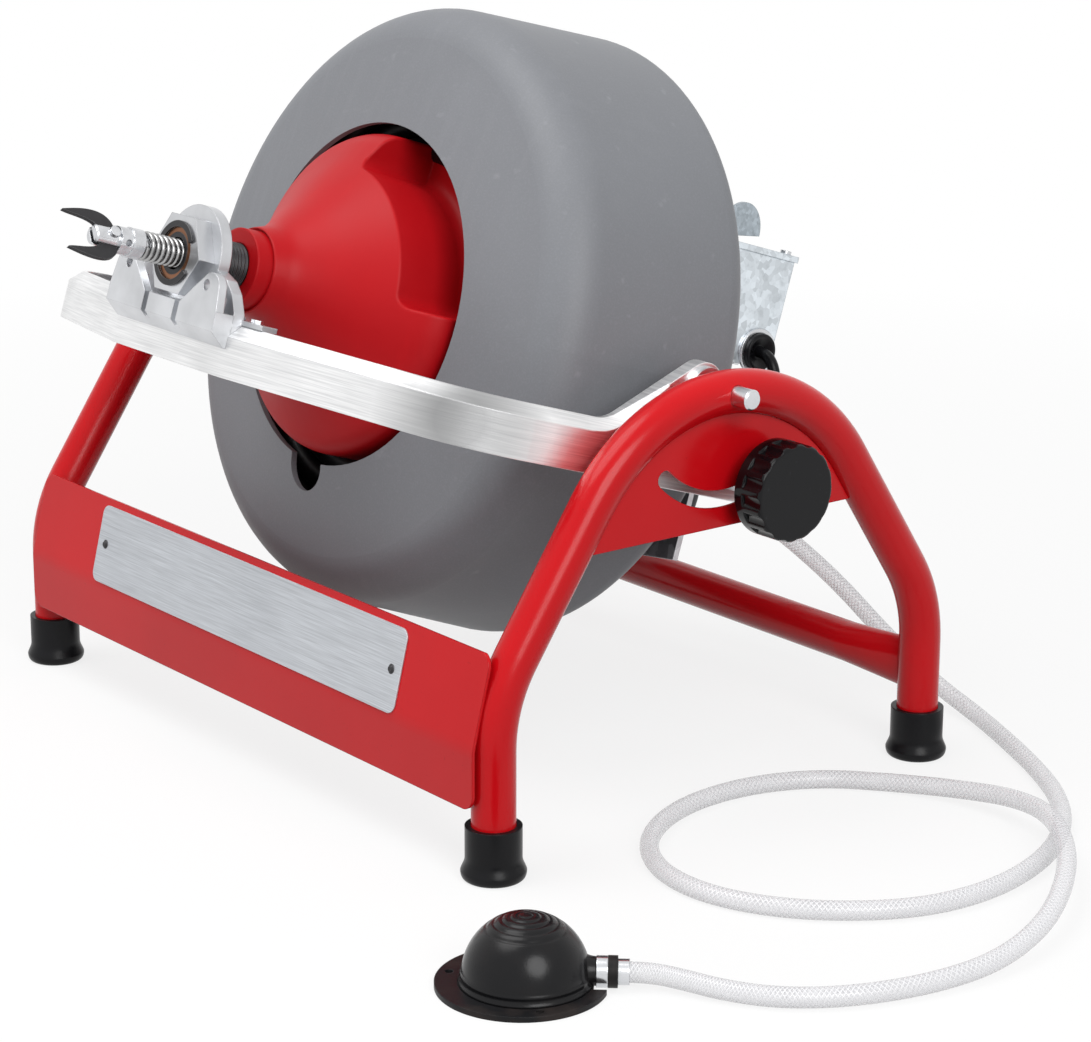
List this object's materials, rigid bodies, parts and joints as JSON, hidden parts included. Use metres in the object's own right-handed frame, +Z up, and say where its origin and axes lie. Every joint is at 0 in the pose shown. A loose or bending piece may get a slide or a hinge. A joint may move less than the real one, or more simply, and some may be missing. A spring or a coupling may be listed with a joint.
{
  "type": "drum drain cleaning machine",
  "caption": "Drain cleaning machine: a drum of cable tilts in a tube stand, spun by a belt-driven motor, with an air foot pedal.",
  "frame": {"origin": "on the floor, midway between the four feet", "axes": "+X towards the side with the locking knob, -Y the front where the cable comes out, +Z up"},
  "size_m": [0.7812, 0.526, 0.4464],
  "materials": {
    "red_paint": "gloss",
    "plate_metal": "satin",
    "zinc_steel": "bright zinc",
    "galvanised_steel": "galvanised",
    "cable_steel": "oiled",
    "dark_steel": "black oxide",
    "bronze": "satin",
    "cast_aluminium": "brushed",
    "iron": "bare",
    "pulley_metal": "turned",
    "motor_paint": "painted dark",
    "drum_plastic": "matte",
    "cone_plastic": "matte",
    "stored_cable": "wound",
    "knob_plastic": "gloss",
    "lever_metal": "zinc",
    "rubber": "satin",
    "pedal_rubber": "matte",
    "clear_hose": "clear with a braid"
  },
  "bodies": {
    "frame": {"left_arch": "red_paint", "right_arch": "red_paint", "right_gusset": "red_paint", "front_panel": "red_paint", "name_plate": "plate_metal", "plate_rivets": "zinc_steel", "rear_cross_tube": "red_paint", "front_left_foot": "rubber", "front_right_foot": "rubber", "rear_left_foot": "rubber", "rear_right_foot": "rubber", "left_pivot_pin": "zinc_steel", "right_pivot_pin": "zinc_steel", "pedal_base": "pedal_rubber", "hose_clamps": "zinc_steel", "air_hose": "clear_hose", "power_cord": "rubber", "cord_coil": "rubber", "coil_tie": "knob_plastic", "plug": "knob_plastic"},
    "cradle": {"yoke": "cast_aluminium", "pivot_bushes": "bronze", "nozzle_plate": "zinc_steel", "nozzle_saddle": "zinc_steel", "saddle_screws": "zinc_steel", "nozzle_hex": "zinc_steel", "nozzle_bush": "bronze", "retaining_ring": "dark_steel", "rear_plate": "zinc_steel", "cradle_bolts": "zinc_steel", "drum_spindle": "zinc_steel", "motor_casing": "motor_paint", "motor_end_cap": "motor_paint", "motor_stator": "iron", "switch_box": "galvanised_steel", "box_lid": "galvanised_steel", "lid_screws": "zinc_steel", "cord_gland": "knob_plastic", "hose_barb": "zinc_steel", "lock_stud": "zinc_steel", "stud_spacer": "zinc_steel", "v_belt": "rubber"},
    "drum": {"drum_shell": "drum_plastic", "drum_hub": "cast_aluminium", "front_hub_bearing": "zinc_steel", "rear_hub_bearing": "zinc_steel", "drum_pulley": "pulley_metal", "inner_cone": "cone_plastic", "cable_coil": "stored_cable", "nozzle_tube": "dark_steel", "drain_cable": "cable_steel", "cable_coupling": "cable_steel", "cutter": "dark_steel", "cutter_screw": "zinc_steel"},
    "rotor": {"motor_rotor": "cable_steel", "motor_pulley": "pulley_metal"},
    "knob": {"lock_knob": "knob_plastic"},
    "lever": {"direction_lever": "lever_metal"},
    "dome": {"pedal_dome": "pedal_rubber"}
  },
  "joints": [
    {"name": "cradle_tilt", "type": "hinge", "parent": "frame", "child": "cradle", "pos_m": [0, 0, 0.2538], "axis": [-1, 0, 0], "range_deg": [-17.65, 60], "deforming": ["air_hose", "power_cord"]},
    {"name": "drum_spin", "type": "hinge", "parent": "cradle", "child": "drum", "pos_m": [0, 0, 0.2538], "axis": [0, -0.9529, 0.3032], "continuous": true},
    {"name": "rotor_spin", "type": "hinge", "parent": "cradle", "child": "rotor", "pos_m": [0, 0.10023, 0.14005], "axis": [0, -0.9529, 0.3032], "continuous": true},
    {"name": "knob_turn", "type": "hinge", "parent": "cradle", "child": "knob", "pos_m": [0.265, 0.02556, 0.19731], "axis": [1, 0, 0], "range_deg": [0, 360]},
    {"name": "lever_rock", "type": "hinge", "parent": "cradle", "child": "lever", "pos_m": [0.0675, 0.15745, 0.30339], "axis": [1, 0, 0], "range_deg": [-8, 8]},
    {"name": "pedal_press", "type": "slide", "parent": "frame", "child": "dome", "axis": [0, 0, -1], "range_m": [0, 0.02], "stiffness_N_per_m": 800, "deforming": ["pedal_dome"]}
  ],
  "couplings": [
    {"joint": "rotor_spin", "follows": "drum_spin", "ratio": 5}
  ]
}
